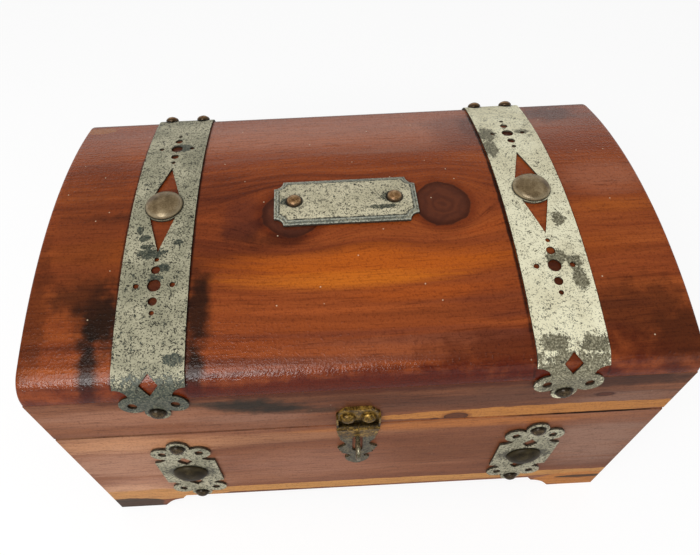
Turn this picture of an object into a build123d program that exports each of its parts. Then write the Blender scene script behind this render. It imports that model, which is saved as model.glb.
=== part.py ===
from build123d import *
import math
import os

# A small cedar keepsake chest: a boarded base on bracket feet, a domed lid hinged at
# the back, pierced metal straps and corner plates, a name plate and a brass hasp.
# Millimetres. X runs along the front, Y from front to back, Z up from the floor.
# "Run" is a distance measured along the outside of the lid from the front spring line.

# Outside of the chest
chest_length = 254.0
chest_depth = 155.0
split_height = 94.5
rail_height = 32.0
corner_radius = 11.3
dome_radius = 236.1
lid_gap = 0.4
end_arris = 1.0
edge_arris = 0.6

# Boards and bottom panel
board_thickness = 9.5
corner_lip = 4.0
panel_thickness = 5.0
panel_height = 15.5
groove_depth = 3.5
panel_play = 0.3

# Bracket feet, cut from the lower edges of the boards
front_foot_length = 24.0
end_foot_length = 20.0
foot_step_height = 3.6
foot_splay = 2.4
foot_shelf_run = 11.0
foot_shelf_height = 9.6
foot_throat_run = 2.6
arch_height = 14.0
shelf_sag_shares = (0.42, 0.66)

# Straps over the lid
strap_inset = 48.7
strap_width = 27.0
strap_thickness = 0.8
strap_lift = 0.25
strap_end_run = 3.3
strap_diamond_run = 8.0
strap_stud_offset = 1.2
strap_back_end_in = 3.2
strap_back_nail_in = 9.6
strap_back_nail_offset = 8.0
long_diamond_half_share = 0.145
long_diamond_half_width = 7.4
stud_land_play = 0.6
cluster_offset = 1.8
cluster_distance_share = 0.236
cluster_mid_share = 0.04
cluster_far_share = 0.0682
cluster_side_step = 7.1
cluster_centre_radius = 2.7
cluster_mid_radius = 1.8
cluster_far_radius = 1.0
cluster_side_radius = 1.15

# Lobed end, the same on the straps and on the corner plates
shoulder_length = 3.8
side_lobe_reach = 5.6
side_lobe_offset = 8.1
side_lobe_half_width = 5.0
side_lobe_half_length = 5.6
side_hole_half_width = 1.8
side_hole_half_length = 2.2
tip_lobe_reach = 11.8
tip_lobe_half_width = 4.9
tip_lobe_half_length = 5.8
small_diamond_half_height = 4.5
small_diamond_half_width = 3.6

# Corner plates on the front of the base
bracket_inset = 48.6
bracket_offset = -0.7
bracket_height_share = 0.4758
bracket_body_height = 34.0
bracket_diamond_height = 13.5
bracket_thickness = 1.0
bracket_lift = 0.35

# Name plate
plate_length = 60.7
plate_depth = 25.0
plate_centre = -1.3
plate_run_offset = -0.9
plate_thickness = 2.0
plate_lift = 0.15
plate_notch_radius = 3.9
plate_bevel_width = 2.3
plate_bevel_height = 0.9
plate_nail_spacing = 42.5
plate_nail_offset = -0.5

# Nails and studs
stud_radius = 7.8
stud_height = 3.5
stud_rim = 0.5
nail_head_radius = 3.2
nail_head_height = 2.3
nail_head_rim = 0.35
shank_radius = 0.8
shank_length = 6.5
shank_fit = 0.05
sheet_hole_play = 0.35
head_seat = 0.05
stud_seat = 0.2

# Hasp
hasp_centre = -1.0
hasp_width = 18.0
hasp_sheet = 1.0
hasp_axis_rise = 2.0
hasp_leaf_height = 15.6
hasp_corner_width = 3.8
hasp_corner_height = 5.2
hasp_flange_height = 2.0
hasp_flange_thickness = 0.8
hasp_rim_height = 0.7
hasp_knuckles = 4
hasp_nail_spacing = 8.5
hasp_nail_height = 7.4
flap_drop = 43.6
flap_lift = 0.3
flap_slot_width = 4.6
flap_slot_top = 11.8
flap_slot_bottom = 28.5
flap_outline_shares = (
    (1.00, 0.12),
    (0.93, 0.21),
    (0.95, 0.23),
    (0.83, 0.30),
    (0.86, 0.32),
    (0.73, 0.385),
    (0.62, 0.42),
    (0.55, 0.463),
    (0.70, 0.515),
    (0.98, 0.560),
    (0.84, 0.600),
    (0.90, 0.625),
    (0.70, 0.665),
    (0.79, 0.690),
    (0.52, 0.730),
    (0.30, 0.765),
    (0.40, 0.800),
    (0.61, 0.829),
)
flap_tip_shares = (0.34, 0.955)

# Staple through the hasp
staple_wire_radius = 1.0
staple_top_drop = 14.4
staple_leg_spacing = 8.6
staple_reach = 8.9
staple_bend_radius = 3.0
staple_bite = 6.5

# Butt hinges on the back
hinge_inset = 52.0
hinge_width = 25.0
hinge_leaf_height = 13.0
hinge_sheet = 1.0
hinge_knuckles = 5
hinge_nail_spacing = 15.0
hinge_nail_height = 8.2
hinge_nail_head_radius = 2.2
hinge_nail_head_height = 0.9

# Knuckles and pins of both kinds of hinge
knuckle_radius = 1.6
knuckle_wall_gap = 0.3
knuckle_end_gap = 0.3
pin_radius = 0.7
pin_fit = 0.05
pin_head_radius = 1.2
pin_head_thickness = 0.7

# How far every cut runs past what it cuts
cut_overrun = 3.0

# Worked out from the sizes above
spring_height = split_height + rail_height
corner_centre = chest_depth / 2 - corner_radius
arc_gap = dome_radius - corner_radius
dome_centre_height = spring_height - math.sqrt(arc_gap**2 - corner_centre**2)
dome_tilt = math.asin(corner_centre / arc_gap)
corner_run = corner_radius * (math.pi / 2 - dome_tilt)
dome_run = 2 * dome_radius * dome_tilt
whole_run = 2 * corner_run + dome_run
strap_stud_run = whole_run / 2 + strap_stud_offset
cluster_middle = whole_run / 2 + cluster_offset
plate_run = whole_run / 2 + plate_run_offset
cluster_distance = whole_run * cluster_distance_share
cluster_mid_step = whole_run * cluster_mid_share
cluster_far_step = whole_run * cluster_far_share
long_diamond_half_length = whole_run * long_diamond_half_share
lid_bottom = split_height + lid_gap
hinge_axis_height = split_height + lid_gap / 2
hinge_axis_depth = chest_depth / 2 + knuckle_radius + knuckle_wall_gap
hasp_axis_height = split_height + hasp_axis_rise
hasp_axis_depth = -hinge_axis_depth
shoulder_width = strap_width / 2 - side_lobe_offset
strap_outside = strap_lift + strap_thickness
bracket_outside = bracket_lift + bracket_thickness
bracket_height = arch_height + (split_height - arch_height) * bracket_height_share

# The origin stands under the middle of the whole object, so everything moves back by
# half of what the staple sticks out at the front over the knuckles at the back.
front_reach = chest_depth / 2 + staple_reach
back_reach = hinge_axis_depth + knuckle_radius
depth_shift = (front_reach - back_reach) / 2


def block(x_low, x_high, y_low, y_high, z_low, z_high):
    """A box from its lowest and highest corners."""
    box = Box(
        x_high - x_low,
        y_high - y_low,
        z_high - z_low,
        align=(Align.MIN, Align.MIN, Align.MIN),
    )
    return Pos(x_low, y_low, z_low) * box


def save(name, shape):
    """Write one piece, moved so that the origin is under the middle of the object."""
    export_step(Pos(0, depth_shift, 0) * shape, f"parts/{name}.step")


def profile_tilt(run):
    """Angle of the outward normal from straight up, below zero towards the front."""
    if run <= 0:
        return -math.pi / 2
    if run <= corner_run:
        return -math.pi / 2 + run / corner_radius
    if run <= corner_run + dome_run:
        return -dome_tilt + (run - corner_run) / dome_radius
    if run <= whole_run:
        return dome_tilt + (run - corner_run - dome_run) / corner_radius
    return math.pi / 2


def profile_point(run, lift=0):
    """Depth and height of the lid's outside at a run, raised along the normal."""
    tilt = profile_tilt(run)
    side, up = math.sin(tilt), math.cos(tilt)
    if run <= 0:
        return -chest_depth / 2 - lift, spring_height + run
    if run <= corner_run:
        reach = corner_radius + lift
        return -corner_centre + reach * side, spring_height + reach * up
    if run <= corner_run + dome_run:
        reach = dome_radius + lift
        return reach * side, dome_centre_height + reach * up
    if run <= whole_run:
        reach = corner_radius + lift
        return corner_centre + reach * side, spring_height + reach * up
    return chest_depth / 2 + lift, spring_height - (run - whole_run)


def surface_plane(x, run, lift=0):
    """A plane on the outside of the lid or front, X along the chest, Y up the run."""
    y, z = profile_point(run, lift)
    tilt = profile_tilt(run)
    normal = (0, math.sin(tilt), math.cos(tilt))
    return Plane(origin=(x, y, z), x_dir=(1, 0, 0), z_dir=normal)


def front_plane(x, height, lift=0):
    """A plane on the upright front, or straight above it, facing out with Y upwards."""
    origin = (x, -chest_depth / 2 - lift, height)
    return Plane(origin=origin, x_dir=(1, 0, 0), z_dir=(0, -1, 0))


def back_plane(x, height, lift=0):
    """A plane on the upright back, facing out."""
    y = chest_depth / 2 + lift
    return Plane(origin=(x, y, height), x_dir=(-1, 0, 0), z_dir=(0, 1, 0))


def profile_edges(lift, run_start, run_end):
    """The lid's outline as lines and arcs between two runs, in the plane of X zero."""
    breaks = [0, corner_run, corner_run + dome_run, whole_run]
    stops = [run_start] + [b for b in breaks if run_start < b < run_end] + [run_end]
    edges = []
    for start, stop in zip(stops, stops[1:]):
        first = (0, *profile_point(start, lift))
        middle = (0, *profile_point((start + stop) / 2, lift))
        last = (0, *profile_point(stop, lift))
        straight = stop <= 0 or start >= whole_run
        edges.append(Line(first, last) if straight else ThreePointArc(first, middle, last))
    return edges


def cap_profile(radius, height, rim, shank, depth):
    """Half section of a domed head on a shank, for turning about Z."""
    rise = height - rim
    sphere = (radius**2 + rise**2) / (2 * rise)
    half_angle = math.asin(min(radius / sphere, 1)) / 2
    middle = (sphere * math.sin(half_angle), 0, height - sphere + sphere * math.cos(half_angle))
    edges = [
        Line((0, 0, -depth), (shank, 0, -depth)),
        Line((shank, 0, -depth), (shank, 0, 0)),
        Line((shank, 0, 0), (radius, 0, 0)),
        Line((radius, 0, 0), (radius, 0, rim)),
        ThreePointArc((radius, 0, rim), middle, (0, 0, height)),
        Line((0, 0, height), (0, 0, -depth)),
    ]
    return Face(Wire(edges))


def nail(radius, height, rim):
    """A domed nail standing on Z zero, with its shank below."""
    return revolve(cap_profile(radius, height, rim, shank_radius, shank_length), Axis.Z)


def round_nail():
    return nail(nail_head_radius, nail_head_height, nail_head_rim)


def hinge_nail():
    return nail(hinge_nail_head_radius, hinge_nail_head_height, hinge_nail_head_height / 3)


def big_stud():
    return nail(stud_radius, stud_height, stud_rim)


def drilled(board, seats):
    """The board with a blind hole for the shank of each nail seat, a plane and its lift."""
    drill_radius = shank_radius + shank_fit
    for plane in seats:
        hole = Cylinder(drill_radius, shank_length, align=(Align.CENTER, Align.CENTER, Align.MAX))
        board -= plane * hole
    return board


# Places of the nails and studs: x, run or height, and what sheet lies under the head
strap_reach = chest_length / 2 - strap_inset
bracket_reach = chest_length / 2 - bracket_inset
hinge_reach = chest_length / 2 - hinge_inset
strap_centres = (-strap_reach, strap_reach)
bracket_centres = (bracket_offset - bracket_reach, bracket_offset + bracket_reach)
hinge_centres = (-hinge_reach, hinge_reach)
strap_tip_run = strap_end_run - tip_lobe_reach
strap_back_nail_run = whole_run - strap_back_nail_in
bracket_tip_reach = bracket_body_height / 2 + tip_lobe_reach


def strap_stud_seats(lift):
    return [surface_plane(x, strap_stud_run, lift) for x in strap_centres]


def strap_front_seats(lift):
    return [surface_plane(x, strap_tip_run, lift) for x in strap_centres]


def strap_back_seats(lift):
    seats = []
    for x in strap_centres:
        for side in (-1, 1):
            spot = x + side * strap_back_nail_offset
            seats.append(surface_plane(spot, strap_back_nail_run, lift))
    return seats


def plate_seats(lift):
    middle = surface_plane(plate_centre + plate_nail_offset, plate_run, lift)
    return [middle * Pos(side * plate_nail_spacing / 2, 0, 0) for side in (-1, 1)]


def bracket_stud_seats(lift):
    return [front_plane(x, bracket_height, lift) for x in bracket_centres]


def bracket_nail_seats(lift):
    seats = []
    for x in bracket_centres:
        for side in (-1, 1):
            seats.append(front_plane(x, bracket_height + side * bracket_tip_reach, lift))
    return seats


def hasp_seats(lift):
    height = hasp_axis_height + hasp_nail_height
    return [
        front_plane(hasp_centre + side * hasp_nail_spacing / 2, height, lift)
        for side in (-1, 1)
    ]


def hinge_seats(direction, lift):
    """Nail seats on the back, above the axis for direction 1 and below it for -1."""
    height = hinge_axis_height + direction * hinge_nail_height
    return [
        back_plane(x + side * hinge_nail_spacing / 2, height, lift)
        for x in hinge_centres
        for side in (-1, 1)
    ]


# Base

def bottom_panel(play=0):
    reach_x = chest_length / 2 - board_thickness + groove_depth + play
    reach_y = chest_depth / 2 - board_thickness + groove_depth + play
    return block(
        -reach_x, reach_x, -reach_y, reach_y, panel_height, panel_height + panel_thickness
    )


def arch_outline(length, foot):
    """The opening under a board between its two feet, drawn with Y upwards."""
    floor_edge = length / 2 - foot
    edge = floor_edge - foot_splay
    lowest = floor_edge + foot_splay
    shelf_end = floor_edge - foot_shelf_run
    throat = shelf_end - foot_throat_run
    sag_x = edge - (edge - shelf_end) * shelf_sag_shares[0]
    sag_y = foot_step_height + (foot_shelf_height - foot_step_height) * shelf_sag_shares[1]
    right = [
        Line((throat, arch_height), (shelf_end, foot_shelf_height)),
        ThreePointArc(
            (shelf_end, foot_shelf_height), (sag_x, sag_y), (edge, foot_step_height)
        ),
        Line((edge, foot_step_height), (lowest, -foot_step_height)),
    ]
    left = [mirror(edge_line, Plane.YZ) for edge_line in right]
    top = Line((-throat, arch_height), (throat, arch_height))
    bottom = Line((-lowest, -foot_step_height), (lowest, -foot_step_height))
    return make_face(right + left + [top, bottom])


def front_arch_cut():
    prism = extrude(arch_outline(chest_length, front_foot_length), chest_depth, both=True)
    return Rot(90, 0, 0) * prism


def end_arch_cut():
    prism = extrude(arch_outline(chest_depth, end_foot_length), chest_length, both=True)
    return Rot(0, 0, 90) * Rot(90, 0, 0) * prism


def eased(board, axis, height, depth_axis):
    """The board with its outer edge at a height taken off at 45 degrees."""
    level = board.edges().filter_by(axis).filter_by(
        lambda e: abs(e.center().Z - height) < edge_arris / 10
    )
    outer = level.sort_by(lambda e: abs(getattr(e.center(), depth_axis)))[-1]
    return chamfer([outer], edge_arris)


def long_board(side, z_low, z_high):
    """Front or back board, with a rabbet at each end that laps over the end board."""
    outside = side * chest_depth / 2
    inside = side * (chest_depth / 2 - board_thickness)
    lap = side * (chest_depth / 2 - corner_lip)
    half = chest_length / 2
    board = block(-half, half, min(outside, inside), max(outside, inside), z_low, z_high)
    for end in (-1, 1):
        x_in = end * (half - board_thickness)
        x_out = end * (half + cut_overrun)
        past = inside - side * cut_overrun
        board -= block(
            min(x_in, x_out),
            max(x_in, x_out),
            min(lap, past),
            max(lap, past),
            z_low - cut_overrun,
            z_high + cut_overrun,
        )
    return board


def end_board(side, z_low, z_high):
    outside = side * chest_length / 2
    inside = side * (chest_length / 2 - board_thickness)
    reach = chest_depth / 2 - corner_lip
    return block(min(outside, inside), max(outside, inside), -reach, reach, z_low, z_high)


def base_long_board(side):
    board = long_board(side, 0, split_height)
    board = board - front_arch_cut() - bottom_panel(panel_play)
    return eased(board, Axis.X, split_height, "Y")


def base_front():
    board = drilled(base_long_board(-1), bracket_stud_seats(0) + bracket_nail_seats(0))
    for drop in (0, staple_leg_spacing):
        height = hasp_axis_height - staple_top_drop - drop
        leg = Cylinder(
            staple_wire_radius + shank_fit,
            staple_bite,
            align=(Align.CENTER, Align.CENTER, Align.MAX),
        )
        board -= front_plane(hasp_centre, height) * leg
    return board


def base_back():
    return drilled(base_long_board(1), hinge_seats(-1, 0))


def base_end(side):
    board = end_board(side, 0, split_height) - end_arch_cut() - bottom_panel(panel_play)
    return eased(board, Axis.Y, split_height, "X")


# Lid

def lid_top():
    """The top board, moulded to the dome, flat underneath."""
    outline = profile_edges(0, 0, whole_run)
    back_corner = (0, chest_depth / 2, spring_height)
    front_corner = (0, -chest_depth / 2, spring_height)
    face = Face(Wire(outline + [Line(back_corner, front_corner)]))
    board = extrude(face, chest_length / 2, dir=(1, 0, 0), both=True)
    rims = board.edges().filter_by(GeomType.CIRCLE)
    board = chamfer(rims, end_arris)
    return drilled(board, strap_stud_seats(0) + strap_back_seats(0) + plate_seats(0))


def lid_front_rail():
    rail = eased(long_board(-1, lid_bottom, spring_height), Axis.X, lid_bottom, "Y")
    return drilled(rail, strap_front_seats(0) + hasp_seats(0))


def lid_back_rail():
    rail = eased(long_board(1, lid_bottom, spring_height), Axis.X, lid_bottom, "Y")
    return drilled(rail, hinge_seats(1, 0))


def lid_end(side):
    return eased(end_board(side, lid_bottom, spring_height), Axis.Y, lid_bottom, "X")


# Straps and corner plates

def diamond(half_width, half_height):
    corners = ((0, half_height), (-half_width, 0), (0, -half_height), (half_width, 0))
    return make_face(Polyline(*corners, close=True))


def lobed_end(shoulder, way):
    """Flat outline past a shoulder: two side lobes and a tip lobe on a narrow neck."""
    side_y = shoulder + way * side_lobe_reach
    tip_y = shoulder + way * tip_lobe_reach
    neck_middle = (shoulder + side_y) / 2
    outline = Pos(0, neck_middle) * Rectangle(2 * side_lobe_offset, side_lobe_reach)
    outline += Pos(0, (side_y + tip_y) / 2) * Rectangle(side_lobe_offset, abs(tip_y - side_y))
    outline += Pos(0, tip_y) * Ellipse(tip_lobe_half_width, tip_lobe_half_length)
    for side in (-1, 1):
        lobe = Ellipse(side_lobe_half_width, side_lobe_half_length)
        outline += Pos(side * side_lobe_offset, side_y) * lobe
    return outline


def shoulder_waste(shoulder, way):
    """The two hollow corners where the body of a sheet narrows to its lobed end."""
    middle = shoulder - way * shoulder_length / 2
    waste = []
    for side in (-1, 1):
        edge = side * strap_width / 2
        square = Pos(edge, middle) * Rectangle(2 * shoulder_width, shoulder_length)
        waste.append(square & Pos(edge, shoulder) * Ellipse(shoulder_width, shoulder_length))
    return waste[0] + waste[1]


def lobe_holes(shoulder, way):
    """Holes of a lobed end: one in each side lobe and the nail hole at the tip."""
    side_y = shoulder + way * side_lobe_reach
    holes = Pos(0, shoulder + way * tip_lobe_reach) * Circle(shank_radius + sheet_hole_play)
    for side in (-1, 1):
        hole = Ellipse(side_hole_half_width, side_hole_half_length)
        holes += Pos(side * side_lobe_offset, side_y) * hole
    return holes


def bracket(centre):
    """A corner plate: a body with a lobed end above and below."""
    half = bracket_body_height / 2
    outline = Rectangle(strap_width, bracket_body_height)
    for way in (-1, 1):
        outline -= shoulder_waste(way * half, way)
    for way in (-1, 1):
        outline += lobed_end(way * half, way)
    for way in (-1, 1):
        outline -= lobe_holes(way * half, way)
        outline -= Pos(0, way * bracket_diamond_height) * diamond(
            small_diamond_half_width, small_diamond_half_height
        )
    outline -= Circle(shank_radius + sheet_hole_play)
    sheet = extrude(outline, bracket_thickness)
    return front_plane(centre, bracket_height, bracket_lift) * sheet


def strap_band():
    """The plain strap, a sheet bent over the lid from the front face to the back corner."""
    front_end = strap_tip_run - tip_lobe_half_length
    back_end = whole_run - strap_back_end_in
    outer = profile_edges(strap_outside, front_end, back_end)
    inner = profile_edges(strap_lift, front_end, back_end)
    closing = [
        Line((0, *profile_point(end, strap_lift)), (0, *profile_point(end, strap_outside)))
        for end in (front_end, back_end)
    ]
    face = Face(Wire(outer + inner + closing))
    return extrude(face, strap_width / 2, dir=(1, 0, 0), both=True)


def strap_front_waste():
    """What is cut from the upright part of the strap to leave its lobes."""
    reach = chest_depth / 2 + cut_overrun
    low = spring_height + strap_tip_run - tip_lobe_half_length - cut_overrun
    zone = block(
        -strap_width, strap_width, -reach, -reach + 2 * cut_overrun, low, spring_height
    )
    shoulder = front_plane(0, spring_height + strap_end_run)
    end = extrude(lobed_end(0, -1) - lobe_holes(0, -1), 2 * cut_overrun, both=True)
    return zone - shoulder * end


def strap_neck_waste():
    """What is cut beside the neck, where the strap turns over the shoulder of the lid."""
    zone = Pos(0, -strap_end_run) * Rectangle(2 * strap_width, 2 * strap_end_run)
    outline = zone - lobed_end(0, -1) + shoulder_waste(0, -1)
    return surface_plane(0, strap_end_run) * extrude(outline, cut_overrun, both=True)


def pierced_holes():
    """The row of round holes either side of the long diamond, as x, run and radius."""
    holes = []
    for way in (-1, 1):
        centre = cluster_middle + way * cluster_distance
        holes.append((0, centre, cluster_centre_radius))
        for side in (-1, 1):
            holes.append((0, centre + side * cluster_mid_step, cluster_mid_radius))
            holes.append((0, centre + side * cluster_far_step, cluster_far_radius))
            holes.append((side * cluster_side_step, centre, cluster_side_radius))
    for side in (-1, 1):
        spot = side * strap_back_nail_offset
        holes.append((spot, strap_back_nail_run, shank_radius + sheet_hole_play))
    return holes


def strap():
    band = strap_band() - strap_front_waste() - strap_neck_waste()
    for x, run, radius in pierced_holes():
        band -= surface_plane(x, run) * Cylinder(radius, 2 * cut_overrun)
    land = Circle(stud_radius + stud_land_play)
    long_diamond = diamond(long_diamond_half_width, long_diamond_half_length)
    long_hole = extrude(long_diamond - land, cut_overrun, both=True)
    shank_hole = Cylinder(shank_radius + sheet_hole_play, 2 * cut_overrun)
    small_hole = extrude(
        diamond(small_diamond_half_width, small_diamond_half_height), cut_overrun, both=True
    )
    band -= surface_plane(0, strap_stud_run) * long_hole
    band -= surface_plane(0, strap_stud_run) * shank_hole
    band -= surface_plane(0, strap_diamond_run) * small_hole
    return band


def name_plate():
    """A bare plate with hollow corners and a bevelled border."""
    outline = Rectangle(plate_length, plate_depth)
    for side in (-1, 1):
        for end in (-1, 1):
            corner = Pos(side * plate_length / 2, end * plate_depth / 2)
            outline -= corner * Circle(plate_notch_radius)
    sheet = extrude(outline, plate_thickness)
    rim = sheet.faces().sort_by(Axis.Z)[-1].edges()
    sheet = chamfer(rim, plate_bevel_height, plate_bevel_width)
    for side in (-1, 1):
        spot = Pos(plate_nail_offset + side * plate_nail_spacing / 2, 0, 0)
        sheet -= spot * Cylinder(shank_radius + sheet_hole_play, 2 * cut_overrun)
    return surface_plane(plate_centre, plate_run, plate_lift) * sheet


# Hinged hardware

def knuckle_spans(centre, width, count, first):
    """Where the knuckles of one leaf start and end along X, every other one."""
    step = width / count
    spans = []
    for index in range(first, count, 2):
        low = centre - width / 2 + index * step + knuckle_end_gap / 2
        spans.append((low, low + step - knuckle_end_gap))
    return spans


def rod(x_low, x_high, y, z, radius):
    turned = Rot(0, 90, 0) * Cylinder(
        radius, x_high - x_low, align=(Align.CENTER, Align.CENTER, Align.MIN)
    )
    return Pos(x_low, y, z) * turned


def knuckled(sheet, spans, face, away, axis_y, axis_z, direction):
    """A leaf with its knuckles: face and away are the depths of the sheet's two sides."""
    bore = pin_radius + pin_fit
    tab_reach = direction * (knuckle_radius + knuckle_end_gap + edge_arris)
    for x_low, x_high in spans:
        sheet += block(
            x_low,
            x_high,
            min(face, away),
            max(face, away),
            min(axis_z, axis_z + tab_reach),
            max(axis_z, axis_z + tab_reach),
        )
        sheet += rod(x_low, x_high, axis_y, axis_z, knuckle_radius)
    for x_low, x_high in spans:
        sheet -= rod(x_low - cut_overrun, x_high + cut_overrun, axis_y, axis_z, bore)
    return sheet


def hinge_leaf(centre, direction):
    """One leaf of a back hinge, above the axis for direction 1 and below it for -1."""
    face = chest_depth / 2
    away = face + hinge_sheet
    near = hinge_axis_height + direction * (knuckle_radius + knuckle_end_gap)
    far = hinge_axis_height + direction * hinge_leaf_height
    sheet = block(
        centre - hinge_width / 2,
        centre + hinge_width / 2,
        face,
        away,
        min(near, far),
        max(near, far),
    )
    first = 0 if direction < 0 else 1
    spans = knuckle_spans(centre, hinge_width, hinge_knuckles, first)
    leaf = knuckled(sheet, spans, face, away, hinge_axis_depth, hinge_axis_height, direction)
    hole_radius = shank_radius + sheet_hole_play
    for side in (-1, 1):
        height = hinge_axis_height + direction * hinge_nail_height
        spot = back_plane(centre + side * hinge_nail_spacing / 2, height)
        leaf -= spot * Cylinder(hole_radius, 2 * cut_overrun)
    return leaf


def hinge_pin(centre):
    half = hinge_width / 2
    pin = rod(centre - half, centre + half, hinge_axis_depth, hinge_axis_height, pin_radius)
    for x_low in (centre - half - pin_head_thickness, centre + half):
        x_high = x_low + pin_head_thickness
        pin += rod(x_low, x_high, hinge_axis_depth, hinge_axis_height, pin_head_radius)
    return pin


def hasp_leaf():
    """The fixed leaf on the lid, with cut top corners and a flange turned out each side."""
    face = -chest_depth / 2
    away = face - hasp_sheet
    half = hasp_width / 2
    near = hasp_axis_height + knuckle_radius + knuckle_end_gap
    top = hasp_axis_height + hasp_leaf_height
    sheet = block(hasp_centre - half, hasp_centre + half, away, face, near, top)
    for side in (-1, 1):
        outer = hasp_centre + side * half
        inner = outer - side * hasp_flange_thickness
        sheet += block(
            min(outer, inner),
            max(outer, inner),
            away - hasp_flange_height,
            away,
            near + edge_arris,
            top - hasp_corner_height,
        )
    rim_half = half - hasp_corner_width
    rim_low = top - hasp_flange_thickness
    rim_out = away - hasp_rim_height
    sheet += block(hasp_centre - rim_half, hasp_centre + rim_half, rim_out, away, rim_low, top)
    for side in (-1, 1):
        corner = front_plane(hasp_centre + side * half, top)
        cut = diamond(hasp_corner_width, hasp_corner_height)
        sheet -= corner * extrude(cut, 2 * cut_overrun, both=True)
    spans = knuckle_spans(hasp_centre, hasp_width, hasp_knuckles, 0)
    leaf = knuckled(sheet, spans, face, away, hasp_axis_depth, hasp_axis_height, 1)
    for seat in hasp_seats(0):
        leaf -= seat * Cylinder(shank_radius + sheet_hole_play, 2 * cut_overrun)
    return leaf


def hasp_pin():
    half = hasp_width / 2
    return rod(
        hasp_centre - half, hasp_centre + half, hasp_axis_depth, hasp_axis_height, pin_radius
    )


def flap_outline():
    """The hanging leaf below its hinge, drawn from the axis down: a barbed leaf shape."""
    half = hasp_width / 2
    points = [(half * wide, -flap_drop * down) for wide, down in flap_outline_shares]
    points.insert(0, (half, -(knuckle_radius + knuckle_end_gap)))
    spur = points[-1]
    tip = (half * flap_tip_shares[0], -flap_drop * flap_tip_shares[1])
    right = [Line(first, second) for first, second in zip(points, points[1:])]
    right.append(ThreePointArc(spur, tip, (0, -flap_drop)))
    left = [mirror(edge_line, Plane.YZ) for edge_line in right]
    top_left, top_right = (-half, points[0][1]), points[0]
    return make_face(right + left + [Line(top_left, top_right)])


def hasp_flap():
    face = -chest_depth / 2 - flap_lift
    away = face - hasp_sheet
    plane = front_plane(hasp_centre, hasp_axis_height, flap_lift)
    slot_length = flap_slot_bottom - flap_slot_top
    slot_middle = -(flap_slot_bottom + flap_slot_top) / 2
    slot = Pos(0, slot_middle) * Rot(0, 0, 90) * SlotOverall(slot_length, flap_slot_width)
    sheet = plane * extrude(flap_outline() - slot, hasp_sheet)
    spans = knuckle_spans(hasp_centre, hasp_width, hasp_knuckles, 1)
    return knuckled(sheet, spans, face, away, hasp_axis_depth, hasp_axis_height, -1)


def hasp_staple():
    """A round wire staple with one leg over the other, driven into the front."""
    top = hasp_axis_height - staple_top_drop
    bottom = top - staple_leg_spacing
    inner = -chest_depth / 2 + staple_bite
    outer = -chest_depth / 2 - staple_reach + staple_wire_radius
    path = FilletPolyline(
        (hasp_centre, inner, top),
        (hasp_centre, outer, top),
        (hasp_centre, outer, bottom),
        (hasp_centre, inner, bottom),
        radius=staple_bend_radius,
    )
    section = Plane(origin=(hasp_centre, inner, top), z_dir=(0, -1, 0))
    return sweep(section * Circle(staple_wire_radius), path=path)


def group(one, seats):
    """The same fastener on each seat, kept as separate solids."""
    return Compound([(seat * one()).solid() for seat in seats])


os.makedirs("parts", exist_ok=True)
on_strap = strap_outside + head_seat
on_bracket = bracket_outside + head_seat

save("base_front", base_front())
save("base_back", base_back())
save("base_left_end", base_end(-1))
save("base_right_end", base_end(1))
save("base_bottom", bottom_panel())
save("lid_top", lid_top())
save("lid_front_rail", lid_front_rail())
save("lid_back_rail", lid_back_rail())
save("lid_left_end", lid_end(-1))
save("lid_right_end", lid_end(1))

one_strap = strap()
for side_name, x in zip(("left", "right"), strap_centres):
    save(f"strap_{side_name}", Pos(x, 0, 0) * one_strap)
for side_name, x in zip(("left", "right"), bracket_centres):
    save(f"bracket_{side_name}", bracket(x))
for side_name, x in zip(("left", "right"), hinge_centres):
    save(f"hinge_{side_name}_lid_leaf", hinge_leaf(x, 1))
    save(f"hinge_{side_name}_base_leaf", hinge_leaf(x, -1))
    save(f"hinge_{side_name}_pin", hinge_pin(x))

save("strap_studs", group(big_stud, strap_stud_seats(strap_outside + stud_seat)))
save("strap_front_nails", group(round_nail, strap_front_seats(on_strap)))
save("strap_back_nails", group(round_nail, strap_back_seats(on_strap)))
save("bracket_studs", group(big_stud, bracket_stud_seats(on_bracket)))
save("bracket_nails", group(round_nail, bracket_nail_seats(on_bracket)))
save("name_plate", name_plate())
save("plate_nails", group(round_nail, plate_seats(plate_lift + plate_thickness + head_seat)))
save("lid_hinge_nails", group(hinge_nail, hinge_seats(1, hinge_sheet)))
save("base_hinge_nails", group(hinge_nail, hinge_seats(-1, hinge_sheet)))
save("hasp_leaf", hasp_leaf())
save("hasp_nails", group(round_nail, hasp_seats(hasp_sheet)))
save("hasp_pin", hasp_pin())
save("hasp_flap", hasp_flap())
save("hasp_staple", hasp_staple())
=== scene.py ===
import math
import bmesh
import bpy
import numpy as np
from mathutils import Matrix


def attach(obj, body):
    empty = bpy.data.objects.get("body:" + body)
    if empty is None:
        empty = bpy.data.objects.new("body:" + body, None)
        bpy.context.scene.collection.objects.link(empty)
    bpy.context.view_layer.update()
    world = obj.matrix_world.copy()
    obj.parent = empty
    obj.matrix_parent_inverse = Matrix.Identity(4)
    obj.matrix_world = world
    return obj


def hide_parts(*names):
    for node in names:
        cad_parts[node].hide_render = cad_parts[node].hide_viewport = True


millimetres = 1000.0     # in a metre; patterns are written in millimetres, shapes in metres

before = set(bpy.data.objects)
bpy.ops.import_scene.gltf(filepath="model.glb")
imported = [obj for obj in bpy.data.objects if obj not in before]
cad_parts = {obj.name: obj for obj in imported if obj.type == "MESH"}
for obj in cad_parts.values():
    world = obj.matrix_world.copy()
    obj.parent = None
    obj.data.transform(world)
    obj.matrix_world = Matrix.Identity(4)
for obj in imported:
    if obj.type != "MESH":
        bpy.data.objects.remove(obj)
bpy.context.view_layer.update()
print("frame loaded:", len(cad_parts), "nodes")

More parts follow.
